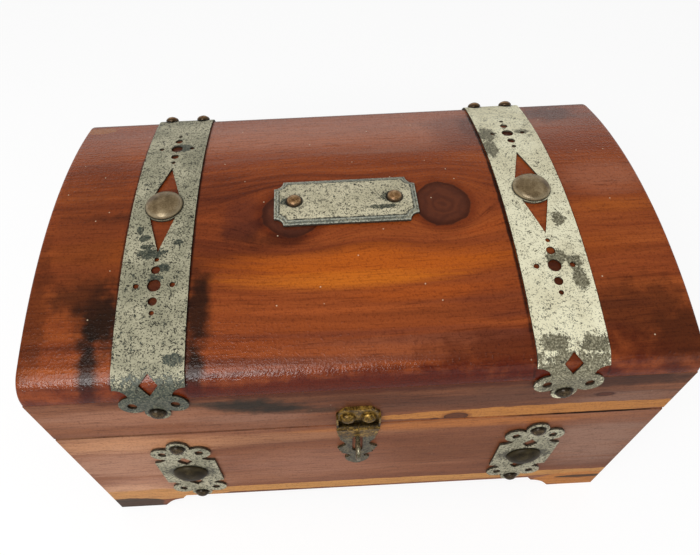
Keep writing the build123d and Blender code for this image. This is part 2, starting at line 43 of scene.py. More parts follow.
# Sizes of the chest that the new pieces share, in metres, as in the part's source.
chest = {
    "length": 0.254,
    "depth": 0.155,
    "spring": 0.1265,
    "cornerRadius": 0.0113,
    "domeRadius": 0.2361,
    "depthShift": 0.0027,
    "endArris": 0.001,
    "haspAxis": 0.0965,
}
cornerCentre = chest["depth"] / 2 - chest["cornerRadius"]
arcGap = chest["domeRadius"] - chest["cornerRadius"]
domeHeight = chest["spring"] - math.sqrt(arcGap**2 - cornerCentre**2)
domeTilt = math.asin(cornerCentre / arcGap)
cornerRun = chest["cornerRadius"] * (math.pi / 2 - domeTilt)
domeRun = 2 * chest["domeRadius"] * domeTilt
wholeRun = 2 * cornerRun + domeRun


# Camera

cameraView = {
    "place": (-0.012042, -0.175083, 0.332173),
    "yaw": 0.014,
    "pitch": 0.907,
    "roll": -0.039,
    "lens": 30.716,
    "sensor": 36,
    "shiftX": 0.03074,
    "shiftY": -0.01964,
    "nearest": 0.01,
}


def addObject(name, data):
    made = bpy.data.objects.new(name, data)
    bpy.context.scene.collection.objects.link(made)
    return made


def turnedTo(right, up, back, place):
    # The matrix that turns a camera or lamp to three directions and moves it to its place
    turn = np.eye(4)
    turn[:3, 0], turn[:3, 1], turn[:3, 2], turn[:3, 3] = right, up, back, place
    return Matrix(turn.tolist())


def addCamera(view):
    # The viewing direction comes from yaw and pitch, then the picture is rolled about it.
    yaw, pitch, roll = view["yaw"], view["pitch"], view["roll"]
    ahead = np.array([
        math.sin(yaw) * math.cos(pitch),
        math.cos(yaw) * math.cos(pitch),
        -math.sin(pitch),
    ])
    right = np.array([math.cos(yaw), -math.sin(yaw), 0.0])
    up = np.cross(right, ahead)
    rightRolled = math.cos(roll) * right + math.sin(roll) * up
    upRolled = -math.sin(roll) * right + math.cos(roll) * up
    data = bpy.data.cameras.new("photoView")
    data.sensor_width, data.lens = view["sensor"], view["lens"]
    data.shift_x, data.shift_y = view["shiftX"], view["shiftY"]
    data.clip_start = view["nearest"]
    camera = addObject("photoView", data)
    camera.matrix_world = turnedTo(rightRolled, upRolled, -ahead, view["place"])
    bpy.context.scene.camera = camera


addCamera(cameraView)
print("camera placed")


# Shader maths

def tone(red, green, blue):
    # A colour written as it should look on the screen, 0 to 255, turned into linear light.
    screen = np.array([red, green, blue]) / 255
    linear = np.where(screen <= 0.04045, screen / 12.92, ((screen + 0.055) / 1.055) ** 2.4)
    return (*linear.tolist(), 1.0)


class Value:
    # Wraps one socket, so that sums on it add their Math nodes.
    def __init__(self, paint, socket):
        self.paint, self.socket = paint, socket

    def sum(self, operation, first, second=0.0):
        return self.paint.node("ShaderNodeMath", {"operation": operation}, {0: first, 1: second})

    def __add__(self, other):
        return self.sum("ADD", self, other)

    def __sub__(self, other):
        return self.sum("SUBTRACT", self, other)

    def __rsub__(self, other):
        return self.sum("SUBTRACT", other, self)

    def __mul__(self, other):
        return self.sum("MULTIPLY", self, other)

    def __truediv__(self, other):
        return self.sum("DIVIDE", self, other)

    def __rtruediv__(self, other):
        return self.sum("DIVIDE", other, self)

    def __pow__(self, other):
        return self.sum("POWER", self, other)

    def __abs__(self):
        return self.sum("ABSOLUTE", self)

    __radd__ = __add__
    __rmul__ = __mul__

    def atLeast(self, other):
        return self.sum("MAXIMUM", self, other)

    def atMost(self, other):
        return self.sum("MINIMUM", self, other)

    def sine(self):
        return self.sum("SINE", self)

    def cosine(self):
        return self.sum("COSINE", self)

    def angleOver(self, other):
        return self.sum("ARCTAN2", self, other)

    def root(self):
        return self.sum("SQRT", self)


class Paint:
    # One material. node() adds any node: its type, its settings, its sockets' values or links.
    def __init__(self, name):
        self.material = bpy.data.materials.new(name)
        self.material.use_nodes = True
        self.startOn(self.material.node_tree)
        here = self.coordinate("Object")
        self.spot = self.vectorSum("SCALE", here, {"Scale": millimetres})
        self.x, self.y, self.z = (self.axis(self.spot, number) for number in range(3))

    @classmethod
    def forTree(cls, tree):
        # The same tools on a tree that isn't a material's, such as the world's
        paint = cls.__new__(cls)
        paint.startOn(tree)
        return paint

    def startOn(self, tree):
        self.tree = tree
        self.tree.nodes.clear()

    def node(self, kind, settings, sockets, output=0):
        made = self.tree.nodes.new(kind)
        for name, value in settings.items():
            if name == "stops":
                ramp = made.color_ramp
                while len(ramp.elements) < len(value):
                    ramp.elements.new(0.5)
                for element, (place, colour) in zip(ramp.elements, value):
                    element.position, element.color = place, colour
            else:
                setattr(made, name, value)
        for name, value in sockets.items():
            if isinstance(value, Value):
                self.tree.links.new(value.socket, made.inputs[name])
            else:
                made.inputs[name].default_value = value
        return None if output is None else Value(self, made.outputs[output])

    def coordinate(self, kind):
        return self.node("ShaderNodeTexCoord", {}, {}, kind)

    def ray(self, kind):
        return self.node("ShaderNodeLightPath", {}, {}, kind)

    def axis(self, vector, number):
        return self.node("ShaderNodeSeparateXYZ", {}, {0: vector}, number)

    def vectorSum(self, operation, first, more):
        return self.node("ShaderNodeVectorMath", {"operation": operation}, {0: first, **more})

    def vector(self, a, b, c):
        return self.node("ShaderNodeCombineXYZ", {}, {0: a, 1: b, 2: c})

    def noise(self, where, scale, detail=2.0, roughness=0.5, distortion=0.0):
        return self.node("ShaderNodeTexNoise", {}, {
            "Vector": where,
            "Scale": scale,
            "Detail": detail,
            "Roughness": roughness,
            "Distortion": distortion,
        })

    def cells(self, where, scale):
        # How far a spot is from the nearest of many points strewn over a plane
        return self.node(
            "ShaderNodeTexVoronoi", {"voronoi_dimensions": "2D"}, {"Vector": where, "Scale": scale}
        )

    def own(self, attribute):
        # A number that a new piece carries on its own points
        return self.node("ShaderNodeAttribute", {"attribute_name": attribute}, {}, "Fac")

    def fade(self, value, start, end):
        # 0 at start and 1 at end, smooth between; start may be above end
        return self.node(
            "ShaderNodeMapRange",
            {"interpolation_type": "SMOOTHSTEP"},
            {"Value": value, "From Min": start, "From Max": end},
        )

    def ramp(self, value, stops):
        return self.node("ShaderNodeValToRGB", {"stops": stops}, {0: value})

    def mix(self, share, first, second, blend="MIX"):
        settings = {"data_type": "RGBA", "blend_type": blend, "clamp_factor": True}
        return self.node("ShaderNodeMix", settings, {0: share, 6: first, 7: second}, 2)

    def darken(self, colour, share, second):
        return self.mix(share, colour, second, "MULTIPLY")

    def blendShaders(self, share, first, second):
        return self.node("ShaderNodeMixShader", {}, {0: share, 1: first, 2: second})

    def glowing(self, colour, strength):
        sockets = {"Color": colour, "Strength": strength}
        return self.node("ShaderNodeEmission", {}, sockets, "Emission")

    def distance(self, where, centre, size):
        # How far a spot is from a centre, in shares of a size for each axis
        gap = self.vectorSum("SUBTRACT", where, {1: centre})
        share = self.vectorSum("DIVIDE", gap, {1: size})
        return self.node("ShaderNodeVectorMath", {"operation": "LENGTH"}, {0: share}, "Value")

    def finish(self, colour, sockets, height, relief):
        # relief is how deep the bumps are, in millimetres.
        bump = {"Strength": 1.0, "Distance": relief / millimetres, "Height": height}
        bump = self.node("ShaderNodeBump", {}, bump)
        sockets = {"Base Color": colour, "Normal": bump, **sockets}
        surface = self.node("ShaderNodeBsdfPrincipled", {}, sockets)
        self.node("ShaderNodeOutputMaterial", {}, {"Surface": surface}, None)
        return self.material


# Wood. Each board's dictionary says which way its grain runs (along, across and through the
# board), its three colours, and where its marks lie, in millimetres along and across the
# grain. Streaky bands, soft stains with painted shade among them, and solid, sharp-edged
# sapwood are (along, across, half length, half width, colour, strength). Knots are (along,
# across, half length, half width, how far the grain bends ahead of them). Lines, fibres and
# streaks say how strongly the growth rings, the finest fibres and the streaks between them show.

allCedar = {
    "noises": {     # scale along the grain, scale across it, detail, roughness
        "broad": (0.007, 0.06, 3, 0.55),
        "drift": (0.010, 0.05, 2, 0.55),
        "streak": (0.016, 0.28, 4, 0.62),
        "fibre": (0.09, 1.5, 3, 0.6),
    },
    "softScale": 0.16,
    "ringTone": (120, 60, 40),
    "fibreTone": (120, 78, 60),
    "gritTone": (140, 96, 76),
    "knotTones": ((72, 36, 25), (104, 54, 34)),
    "knotRim": (140, 118, 112),
    "knotHalo": (150, 96, 70),
    "rawTone": (190, 134, 98),
    "speckTone": (236, 210, 176),
    "speckScale": 0.045,
    "speckEdge": (0.017, 0.008),
    "speckEnd": (-75, -71),
}
topBoard = {
    "axes": "xyz",
    "domed": True,
    "colours": ((100, 44, 22), (144, 68, 30), (166, 84, 36)),
    "knots": ((39.5, -3.5, 11.8, 12.6, 1.4), (-24, -5.5, 12.8, 13.0, 1.4)),
    "bands": (
        (-8, -20, 30, 4, (186, 94, 28), 0.6),
        (0, -50, 70, 10, (158, 78, 34), 0.5),
        (15, -26, 62, 8.5, (194, 96, 22), 0.8),
        (-6, -33, 46, 4.5, (204, 110, 28), 0.85),
        (30, -40, 40, 4, (180, 86, 26), 0.6),
        (-100, -21, 30, 7, (160, 80, 24), 0.6),
        (110, -9, 26, 4.5, (176, 92, 32), 0.7),
        (55, -11, 13, 5, (176, 84, 30), 0.6),
        (96, -26, 26, 6, (160, 78, 26), 0.5),
        (-10, 46, 120, 22, (190, 126, 98), 0.62),
        (30, 64, 90, 9, (172, 108, 82), 0.6),
        (112, 8, 22, 13, (182, 112, 80), 0.65),
        (56, 46, 14, 22, (104, 48, 32), 0.5),
        (96, 26, 30, 18, (140, 74, 48), 0.4),
        (-22, -63, 42, 5, (152, 74, 34), 0.5),
        (-20, -66, 70, 2.2, (112, 60, 44), 0.7),
        (40, -60, 60, 2.4, (112, 58, 42), 0.65),
        (0, -56, 60, 1.6, (118, 58, 38), 0.6),
        (90, -52, 36, 3.0, (106, 52, 34), 0.55),
        (60, -45, 50, 1.6, (120, 58, 34), 0.5),
        (-10, -46, 50, 1.6, (176, 88, 38), 0.5),
        (-90, -33, 30, 3.0, (150, 74, 28), 0.5),
        (-60, 28, 60, 10, (134, 62, 36), 0.3),
    ),
    "stains": (
        (-110, -10, 20, 60, (112, 54, 26), 0.45),
        (-124, -48, 7, 30, (88, 40, 16), 0.7),
        (-44, -14, 10, 8, (80, 36, 18), 0.65),
        (120, -68, 16, 13, (64, 26, 8), 0.8),
        (24, -67, 60, 5, (160, 90, 56), 0.45),
        (108, -58, 26, 16, (84, 38, 14), 0.75),
        (66, -70, 50, 9, (84, 30, 10), 0.75),
        (-98, -50, 11, 16, (26, 18, 10), 0.95),
        (-101, -70, 5, 14, (24, 18, 12), 0.9),
        (-106, -41, 14, 9, (62, 30, 14), 0.75),
        (56, -51, 18, 8, (112, 50, 28), 0.4),
        (-61, -48, 6, 19, (30, 18, 10), 0.9),
        (-62, -74, 4.5, 15, (30, 20, 12), 0.9),
        (-88, -3, 26, 3.4, (78, 38, 20), 0.6),
        (-45, -6, 10, 13, (88, 40, 30), 0.5),
        (104, 63, 16, 10, (74, 46, 38), 0.7),
        (62, 50, 6, 14, (84, 40, 28), 0.5),
        (-30, -19, 15, 5, (66, 30, 14), 0.6),
        (-28, -24, 40, 4, (96, 40, 16), 0.35),
        (0, -78, 140, 5, (80, 18, 4), 0.9),
        # Painted shadows: thin dark lines along both edges of each strap, where the straps'
        # shadows fall on the lid.
        (-92.4, 0, 0.8, 90, (34, 16, 8), 0.7),
        (-64.6, 0, 0.7, 90, (34, 16, 8), 0.7),
        (64.2, 0, 0.9, 90, (20, 8, 4), 0.9),
        (92.2, 0, 0.6, 90, (44, 20, 10), 0.6),
        # Painted shade with old dirt: the wood under the straps' holes is darkened where it shows
        # through.
        (-78.3, 42, 9, 9, (54, 28, 20), 0.8),
        (78.3, 42, 9, 9, (46, 20, 14), 0.85),
        (-78.3, -40, 9, 11, (62, 30, 20), 0.75),
        (78.3, -40, 9, 11, (52, 22, 12), 0.8),
    ),
    "solid": ((-121, 66, 8, 3.5, (176, 108, 50), 0.85),),
    "lines": 0.17,
    "fibres": 0.48,
    "streaks": 1.0,
    "ringSpacing": 2.7,
    "seed": 3.0,
    "gloss": 0.17,
    "sheen": 0.3,
    "relief": 0.2,
    "specks": 0.9,
}
frontRail = {
    "axes": "xzy",
    "domed": False,
    "colours": ((102, 60, 38), (134, 81, 52), (158, 102, 70)),
    "knots": ((39.5, 97.6, 5.2, 3.4, 1.6), (97, 111.5, 3.5, 1.6, 1.4), (31, 96, 1.6, 1.0, 1.2)),
    "bands": (
        (-95, 112, 44, 8, (172, 120, 92), 0.8),
        (62, 112, 90, 8, (98, 62, 46), 0.85),
        (10, 116, 34, 5, (92, 52, 34), 0.75),
        (-60, 98, 70, 3, (158, 104, 76), 0.5),
        (106, 108, 28, 6, (144, 108, 90), 0.75),
        (-44, 106, 30, 5, (160, 116, 94), 0.6),
    ),
    "stains": (
        (0, 126, 140, 3.2, (84, 36, 18), 0.8),
        (102, 123, 34, 6, (64, 36, 24), 0.85),
        (-8, 100, 16, 5, (116, 74, 54), 0.4),
        (-56, 120.5, 13, 2.4, (62, 50, 40), 0.8),
        (-44, 118, 15, 6.4, (44, 38, 30), 0.95),
        (-31, 114, 14, 5.2, (44, 37, 29), 0.94),
        (-17, 110, 12, 2.6, (72, 50, 36), 0.8),
        (98, 94.9, 36, 0.45, (24, 12, 6), 0.95),
        (-80, 94.9, 90, 0.35, (52, 28, 18), 0.6),
    ),
    "solid": ((80, 99.8, 74, 4.6, (198, 132, 64), 0.94),),
    "lines": 0.2,
    "fibres": 0.6,
    "streaks": 0.65,
    "ringSpacing": 5.0,
    "seed": 11.0,
    "gloss": 0.42,
    "sheen": 0.12,
    "relief": 0.05,
    "specks": 0.3,
}
frontBoard = {
    **frontRail,
    "colours": ((110, 63, 41), (138, 84, 56), (160, 106, 76)),
    "knots": (),
    "bands": (
        (-96, 84, 46, 10, (206, 148, 106), 0.88),
        (-104, 62, 36, 20, (190, 140, 112), 0.8),
        (-94, 36, 40, 14, (192, 140, 112), 0.75),
        (-114, 28, 22, 9, (214, 162, 128), 0.8),
        (-30, 85, 60, 5, (176, 122, 86), 0.7),
        (-24, 50, 44, 24, (166, 116, 92), 0.65),
        (50, 90, 66, 4.6, (184, 114, 58), 0.9),
        (50, 62, 50, 22, (122, 72, 44), 0.6),
        (108, 62, 32, 28, (160, 122, 102), 0.75),
    ),
    "stains": ((98, 94.1, 36, 0.5, (24, 12, 6), 0.95), (-80, 94.1, 90, 0.4, (52, 28, 18), 0.6)),
    "solid": (
        (0, 20.5, 160, 4.4, (212, 152, 84), 0.96),
        (-106, 18, 38, 8.0, (214, 154, 92), 0.95),
        (-121, 5.5, 19.5, 8.6, (62, 54, 46), 0.95),
        (117, 9, 24, 9.5, (204, 132, 62), 0.94),
        (119, 12.2, 15, 1.9, (60, 44, 30), 0.92),
    ),
    "ringSpacing": 6.0,
    "seed": 17.0,
    "specks": 0.25,
}
backBoard = {
    **frontBoard,
    "knots": ((-62, 70, 5.0, 4.0, 1.5), (35, 32, 3.5, 3.0, 1.4)),
    "bands": ((60, 80, 50, 8, (118, 70, 54), 0.5), (-30, 50, 60, 8, (170, 114, 84), 0.5)),
    "stains": (),
    "solid": ((0, 24, 160, 6, (206, 148, 90), 0.9),),
    "seed": 23.0,
}
endBoard = {
    **frontBoard,
    "axes": "yzx",
    "colours": ((116, 66, 46), (150, 92, 66), (176, 116, 80)),
    "knots": ((22, 60, 4.5, 3.8, 1.5),),
    "bands": ((0, 84, 80, 6, (184, 126, 82), 0.6), (-30, 34, 40, 7, (112, 64, 46), 0.5)),
    "stains": (),
    "solid": ((10, 19, 90, 3.5, (206, 146, 88), 0.9),),
    "ringSpacing": 5.5,
    "seed": 31.0,
    "gloss": 0.34,
}
insidePanel = {
    **endBoard,
    "axes": "yxz",
    "colours": ((164, 104, 74), (192, 132, 94), (212, 158, 112)),
    "knots": ((10, -40, 5.0, 4.2, 1.5),),
    "bands": (),
    "solid": (),
    "seed": 41.0,
    "gloss": 0.55,
}


def patches(rows):
    # Each row of a board's dictionary as a centre, a size, a colour and a strength
    for along, across, length, width, shade, strength in rows:
        yield (along, across, 0), (length, width, 1), shade, strength


def cedar(name, wood):
    paint = Paint(name)
    axes = {"x": paint.x, "y": paint.y - chest["depthShift"] * millimetres, "z": paint.z}
    along, across, through = (axes[axis] for axis in wood["axes"])
    softScale = allCedar["softScale"]
    soft = paint.vector(along * softScale, across * softScale, through * softScale)
    soft = paint.noise(soft, 1.0, 2)
    # The grain flows round a knot: the nearer a spot is, the more its place across the
    # grain is drawn to the knot's own.
    flow = across
    knots = []
    for knotAlong, knotAcross, halfLength, halfWidth, stretch in wood["knots"]:
        aside = (along - knotAlong) / (halfLength * stretch)
        above = (across - knotAcross) / halfWidth
        square = (aside * aside + above * above).atLeast(1.0)
        flow = flow - (across - knotAcross) / square
        inside = (along - knotAlong) / halfLength
        knots.append((inside * inside + above * above).root())
    # Stains and painted shade lie on the varnished outside: all of the top board but its raw
    # underside, and the broad faces of the others. On the top board, chips and specks stay off the
    # ends.
    facing = paint.axis(paint.coordinate("Normal"), "xyz".index(wood["axes"][2]))
    if wood["domed"]:
        exposed = paint.fade(facing, -0.6, -0.2)
        broadside = paint.fade(facing, 0.05, 0.3)
    else:
        exposed = broadside = paint.fade(abs(facing), 0.5, 0.7)

    def grain(kind):
        alongScale, acrossScale, detail, roughness = allCedar["noises"][kind]
        place = paint.vector(
            along * alongScale, flow * acrossScale, through * acrossScale + wood["seed"]
        )
        return paint.noise(place, 1.0, detail, roughness)

    broad, drift, streak, fibre = (grain(kind) for kind in allCedar["noises"])
    value = (broad - 0.5) * 1.4 + (streak - 0.5) * wood["streaks"] + (fibre - 0.5) * 0.3 + 0.5
    dark, middle, light = (tone(*colour) for colour in wood["colours"])
    colour = paint.ramp(value, ((0.2, dark), (0.5, middle), (0.8, light)))
    place = paint.vector(along, flow, 0.0)
    wobble = (streak - 0.5) * 1.5 + (broad - 0.5) * 1.2
    for spot, size, shade, strength in patches(wood["bands"]):
        far = paint.distance(place, spot, size)
        colour = paint.mix(paint.fade(far + wobble, 1.3, 0.3) * strength, colour, tone(*shade))
    level = paint.vector(along, across, 0.0)
    for spot, size, shade, strength in patches(wood["stains"]):
        far = paint.distance(level, spot, size)
        reach = far + (soft - 0.5) * 1.1 + (streak - 0.5) * 0.5
        cover = paint.fade(reach, 1.25, 0.35) * exposed * strength
        colour = paint.mix(cover, colour, tone(*shade))
    for spot, size, shade, strength in patches(wood["solid"]):
        far = paint.distance(level, spot, size)
        reach = far + (soft - 0.5) * 0.35 + (streak - 0.5) * 0.25
        tinted = paint.mix((streak - 0.3) * 0.5, tone(*shade), middle)
        cover = paint.fade(reach, 1.04, 0.96) * strength
        if wood["domed"]:
            cover = cover * broadside
        colour = paint.mix(cover, colour, tinted)
    # Growth rings are thin dark lines whose spacing drifts along the board.
    phase = flow * (2 * math.pi / wood["ringSpacing"]) + (drift - 0.5) * 34 + through * 0.4
    ring = ((phase.sine() * 0.5 + 0.5) ** 5.0) * paint.fade(broad, 0.42, 0.6)
    fine = paint.fade(fibre, 0.5, 0.74)
    grit = paint.fade(paint.noise(paint.spot, 1.0, 3, 0.7), 0.5, 0.66)
    colour = paint.darken(colour, ring * wood["lines"], tone(*allCedar["ringTone"]))
    colour = paint.darken(colour, fine * wood["fibres"], tone(*allCedar["fibreTone"]))
    colour = paint.darken(colour, grit * 0.35, tone(*allCedar["gritTone"]))
    knotDark, knotLight = (tone(*shade) for shade in allCedar["knotTones"])
    for far in knots:
        edge = far + (fibre - 0.5) * 0.12 + (soft - 0.5) * 0.18
        heart = paint.fade(edge, 1.03, 0.96)
        rings = (far * 15.0 + (soft - 0.5) * 14).sine() * 0.5 + 0.5
        knotColour = paint.mix(rings * 0.45 + streak * 0.3, knotDark, knotLight)
        rim = paint.fade(edge, 0.72, 0.96)
        knotColour = paint.darken(knotColour, rim * 0.75, tone(*allCedar["knotRim"]))
        halo = paint.fade(edge, 1.45, 1.0) * (1 - heart)
        colour = paint.darken(colour, halo * 0.55, tone(*allCedar["knotHalo"]))
        colour = paint.mix(heart * 0.92, colour, knotColour)
    # Small pale specks where the varnish is chipped
    speck = paint.cells(level, allCedar["speckScale"])
    chipped = paint.fade(speck, *allCedar["speckEdge"]) * paint.fade(soft, 0.46, 0.5)
    chipped = chipped * paint.fade(across, *allCedar["speckEnd"]) * broadside * wood["specks"]
    colour = paint.mix(chipped * 0.75, colour, tone(*allCedar["speckTone"]))
    roughness = wood["gloss"] + (streak - 0.5) * 0.1
    if wood["domed"]:
        raw = 1 - exposed
        colour = paint.mix(raw * 0.4, colour, tone(*allCedar["rawTone"]))
        roughness = roughness + raw * 0.35
    height = fibre * 0.2 + paint.noise(paint.spot, 1.0, 2) + ring * 0.1
    sockets = {"Roughness": roughness, "Specular IOR Level": wood["sheen"]}
    return paint.finish(colour, sockets, height, wood["relief"])


# Silvered sheet. The thin coat is speckled and scratched all over, and has flaked to grey
# metal in the patches each piece lists, in millimetres along X and up the lid's run:
# (x, run, half width, half height). On the front the run goes below 0. Heads are the dark
# rings of painted shadow round studs and nails, (x, run, radius). Some pieces are darkened towards
# the front.

leftStrap = {
    "grain": 1.35,
    "pale": (204, 198, 168),
    "dull": (168, 164, 137),
    "bare": (54, 62, 54),
    "dark": (34, 33, 24),
    "speckle": 0.54,
    "speckled": 0.95,
    "flaked": 0.64,
    "nicks": 1.0,
    "noiseScales": (0.42, 0.07, 0.55),     # of the flakes, the clouds and the nicks
    "grime": 0.2,
    "frontDarkeningRun": (84, 24),
    "frontDarkeningTone": (150, 146, 128),
    "headShadow": (26, 20, 12),
    "cutEdgeShadeAndDirt": (46, 36, 26),
    "metal": 0.2,
    "gloss": 0.5,
    "sheen": 0.4,
    "relief": 0.07,
    "heads": ((-78.3, 86.5, 8.2), (-78.3, -8.5, 3.7), (-86.3, 160.6, 3.6), (-70.3, 160.6, 3.6)),
    "patches": (
        (-78.3, 1.0, 18, 9.6),
        (-68.6, 16.2, 3.8, 2.0),
        (-81, 61, 5.2, 2.2),
        (-75.5, 54, 2.8, 1.7),
        (-78.3, 48.3, 2.6, 2.9),
        (-76, 128.5, 4.0, 3.2),
        (-84.5, 69, 2.2, 1.5),
        (-82.5, 64.5, 2.8, 1.2),
        (-70.5, 66, 2.0, 1.4),
        (-86.5, 73, 1.3, 2.2),
    ),
}
# The right strap's coat is painted brighter than the left strap's: painted light, as the right
# strap catches more of it.
rightStrap = {
    **leftStrap,
    "pale": (255, 250, 216),
    "dull": (238, 231, 196),
    "bare": (98, 93, 72),
    "grime": 0.0,
    "heads": ((78.3, 86.5, 8.2), (78.3, -8.5, 3.7), (70.3, 160.6, 3.6), (86.3, 160.6, 3.6)),
    "speckle": 0.565,
    "speckled": 0.6,
    "flaked": 0.655,
    "nicks": 0.8,
    "patches": (
        (72, 15.5, 6, 2.9),
        (87, 14.5, 6.5, 3.0),
        (78.3, 4.5, 17, 8.5),
        (80, -5, 14, 6),
        (85, 69, 2.6, 3.4),
        (79.5, 50, 4, 3.6),
        (86.5, 48, 3.2, 3.0),
        (87, 40, 2.6, 5.0),
        (68, 127, 4, 6),
        (85, 129, 3.4, 1.8),
        (67, 115, 3.2, 6),
    ),
}
cornerBracket = {
    **leftStrap,
    "grain": 0.8,
    "pale": (196, 190, 162),
    "dull": (160, 156, 130),
    "bare": (72, 69, 54),
    "speckle": 0.53,
    "flaked": 0.61,
    "grime": 0.0,
    "heads": (
        (-79.1, -74.2, 8.2), (-79.1, -45.4, 3.6), (-79.1, -103, 3.6),
        (77.7, -74.2, 8.2), (77.7, -45.4, 3.6), (77.7, -103, 3.6),
    ),
    "patches": ((-79, -74, 11, 7), (77.7, -74, 11, 7)),
}
namePlate = {
    **leftStrap,
    "pale": (226, 217, 184),
    "dull": (202, 194, 162),
    "border": (98, 101, 90),
    "borderHighlight": (206, 208, 192),
    "speckle": 0.545,
    "speckled": 0.75,
    "flaked": 0.65,
    "grime": 0.0,
    "heads": ((-23.05, 84.4, 3.75), (19.45, 84.4, 3.75)),
    "patches": ((-25.5, 84.4, 3.6, 2.4), (17.5, 85, 4.2, 2.6), (14, 79, 7, 1.2)),
    "centre": (-1.3, 1.8),
    "half": (30.35, 12.5),
    "bevel": 2.3,
    "notch": 3.9,
}
shoulder = {     # in millimetres; the dome's run is a little longer than its depth
    "radius": 11.3,
    "depth": -66.2,
    "height": 126.5,
    "endTilt": -domeTilt,
    "domeStretch": 1.02,
}


def lidPlace(paint):
    # The run up the lid at a spot, and how squarely the surface there faces outwards. The
    # front, the small arc of the shoulder and the dome each add their own share of the run.
    depth = paint.y - chest["depthShift"] * millimetres
    rise, out = paint.z - shoulder["height"], depth - shoulder["depth"]

    def tiltFor(beyond):
        return beyond.angleOver(rise).atLeast(-math.pi / 2).atMost(shoulder["endTilt"])

    arcEnd = shoulder["depth"] + shoulder["radius"] * math.sin(shoulder["endTilt"])
    arc = (tiltFor(out) + math.pi / 2) * shoulder["radius"]
    run = rise.atMost(0) + arc + ((depth - arcEnd) * shoulder["domeStretch"]).atLeast(0)
    # The back of the lid mirrors its front.
    tilt = tiltFor(0 - abs(depth) - shoulder["depth"])
    side = paint.fade(depth, -1, 1) * 2 - 1
    normal = paint.coordinate("Normal")
    back, up = paint.axis(normal, 1), paint.axis(normal, 2)
    return run, up * tilt.cosine() - side * back * tilt.sine()


def silvered(name, sheet):
    paint = Paint(name)
    run, outward = lidPlace(paint)
    speckle = paint.noise(paint.spot, sheet["grain"], 3, 0.75)
    flakeScale, cloudScale, nickScale = sheet["noiseScales"]
    flake = paint.noise(paint.spot, flakeScale, 4, 0.66)
    cloud = paint.noise(paint.spot, cloudScale, 3, 0.6)
    crack = paint.noise(paint.spot, nickScale, 2, 0.5, 0.5)
    pale, dull, bare, dark = (tone(*sheet[key]) for key in ("pale", "dull", "bare", "dark"))
    colour = paint.mix(paint.fade(cloud, 0.35, 0.65), pale, dull)
    dots = paint.fade(speckle, sheet["speckle"], sheet["speckle"] + 0.05)
    colour = paint.mix(dots * sheet["speckled"], colour, dark)
    # Where a piece asks for it, the coat is darker towards the front of the lid.
    grime = paint.fade(run, *sheet["frontDarkeningRun"]) * sheet["grime"]
    colour = paint.darken(colour, grime, tone(*sheet["frontDarkeningTone"]))
    # Bare metal: flakes everywhere, and the listed places with ragged edges
    worn = paint.fade(flake, sheet["flaked"], sheet["flaked"] + 0.015)
    where = paint.vector(paint.x, run, 0.0)
    ragged = (flake - 0.5) * 2.6 + (speckle - 0.5) * 1.2
    for x, up, halfWidth, halfHeight in sheet["patches"]:
        far = paint.distance(where, (x, up, 0), (halfWidth, halfHeight, 1))
        worn = worn.atLeast(paint.fade(far + ragged, 1.04, 0.96))
    pits = (speckle - 0.5) * 2.2 + 0.14
    colour = paint.mix(worn, colour, paint.mix(pits, bare, dull))
    # Painted shadow: a dark ring round the heads of the studs and nails.
    for x, up, radius in sheet["heads"]:
        far = paint.distance(where, (x, up, 0), (radius, radius, 1))
        ring = paint.fade(far + (speckle - 0.5) * 0.16, 1.05, 0.96)
        colour = paint.mix(ring * 0.92, colour, tone(*sheet["headShadow"]))
    # Nicks are short pieces of thin winding lines.
    line = paint.fade(abs(crack - 0.5), 0.026, 0.012) * paint.fade(flake, 0.49, 0.52)
    colour = paint.mix(line * sheet["nicks"], colour, dark)
    coat = 1 - worn.atLeast(line * 0.8)
    if "border" in sheet:
        # The bevelled border is a dull ground with two painted highlights along its arrises and a
        # dark line within them, each at its own distance inside the notched outline.
        centreX, centreY = sheet["centre"]
        halfX, halfY = sheet["half"]
        aside, along = abs(paint.x - centreX), abs(paint.y - centreY)
        cornerX, cornerY = halfX - aside, halfY - along
        corner = (cornerX * cornerX + cornerY * cornerY).root()
        inner = cornerX.atMost(cornerY).atMost(corner - sheet["notch"])
        edge = paint.fade(inner, sheet["bevel"] + 0.25, sheet["bevel"] - 0.25)
        rubbed = paint.fade(speckle + (cloud - 0.5) * 0.5, 0.46, 0.6)
        rim = paint.mix(rubbed * 0.55, tone(*sheet["border"]), dull)
        worn = worn.atLeast(edge * 0.5)
        outerHighlight = paint.fade(abs(inner - 0.3), 0.4, 0.1)
        innerHighlight = paint.fade(abs(inner - 1.6), 0.35, 0.1)
        lit = outerHighlight.atLeast(innerHighlight) * paint.fade(speckle, 0.4, 0.5)
        rim = paint.mix(lit * 0.6, rim, tone(*sheet["borderHighlight"]))
        arris = paint.fade(abs(inner - sheet["bevel"]), 0.5, 0.1) * paint.fade(flake, 0.4, 0.52)
        rim = paint.mix(arris * 0.8, rim, dark)
        colour = paint.mix(edge.atLeast(arris), colour, rim)
    # The cut edges and the walls of the holes are dark: painted shade on walls turned away from
    # the light, with dirt.
    wallShadeAndDirt = paint.fade(outward, 0.72, 0.45)
    colour = paint.mix(wallShadeAndDirt * 0.9, colour, tone(*sheet["cutEdgeShadeAndDirt"]))
    height = coat * 0.8 + speckle * 0.5 + flake * 0.2
    sockets = {
        "Roughness": sheet["gloss"] - worn * 0.08,
        "Metallic": sheet["metal"],
        "Specular IOR Level": sheet["sheen"],
    }
    return paint.finish(colour, sockets, height, sheet["relief"])
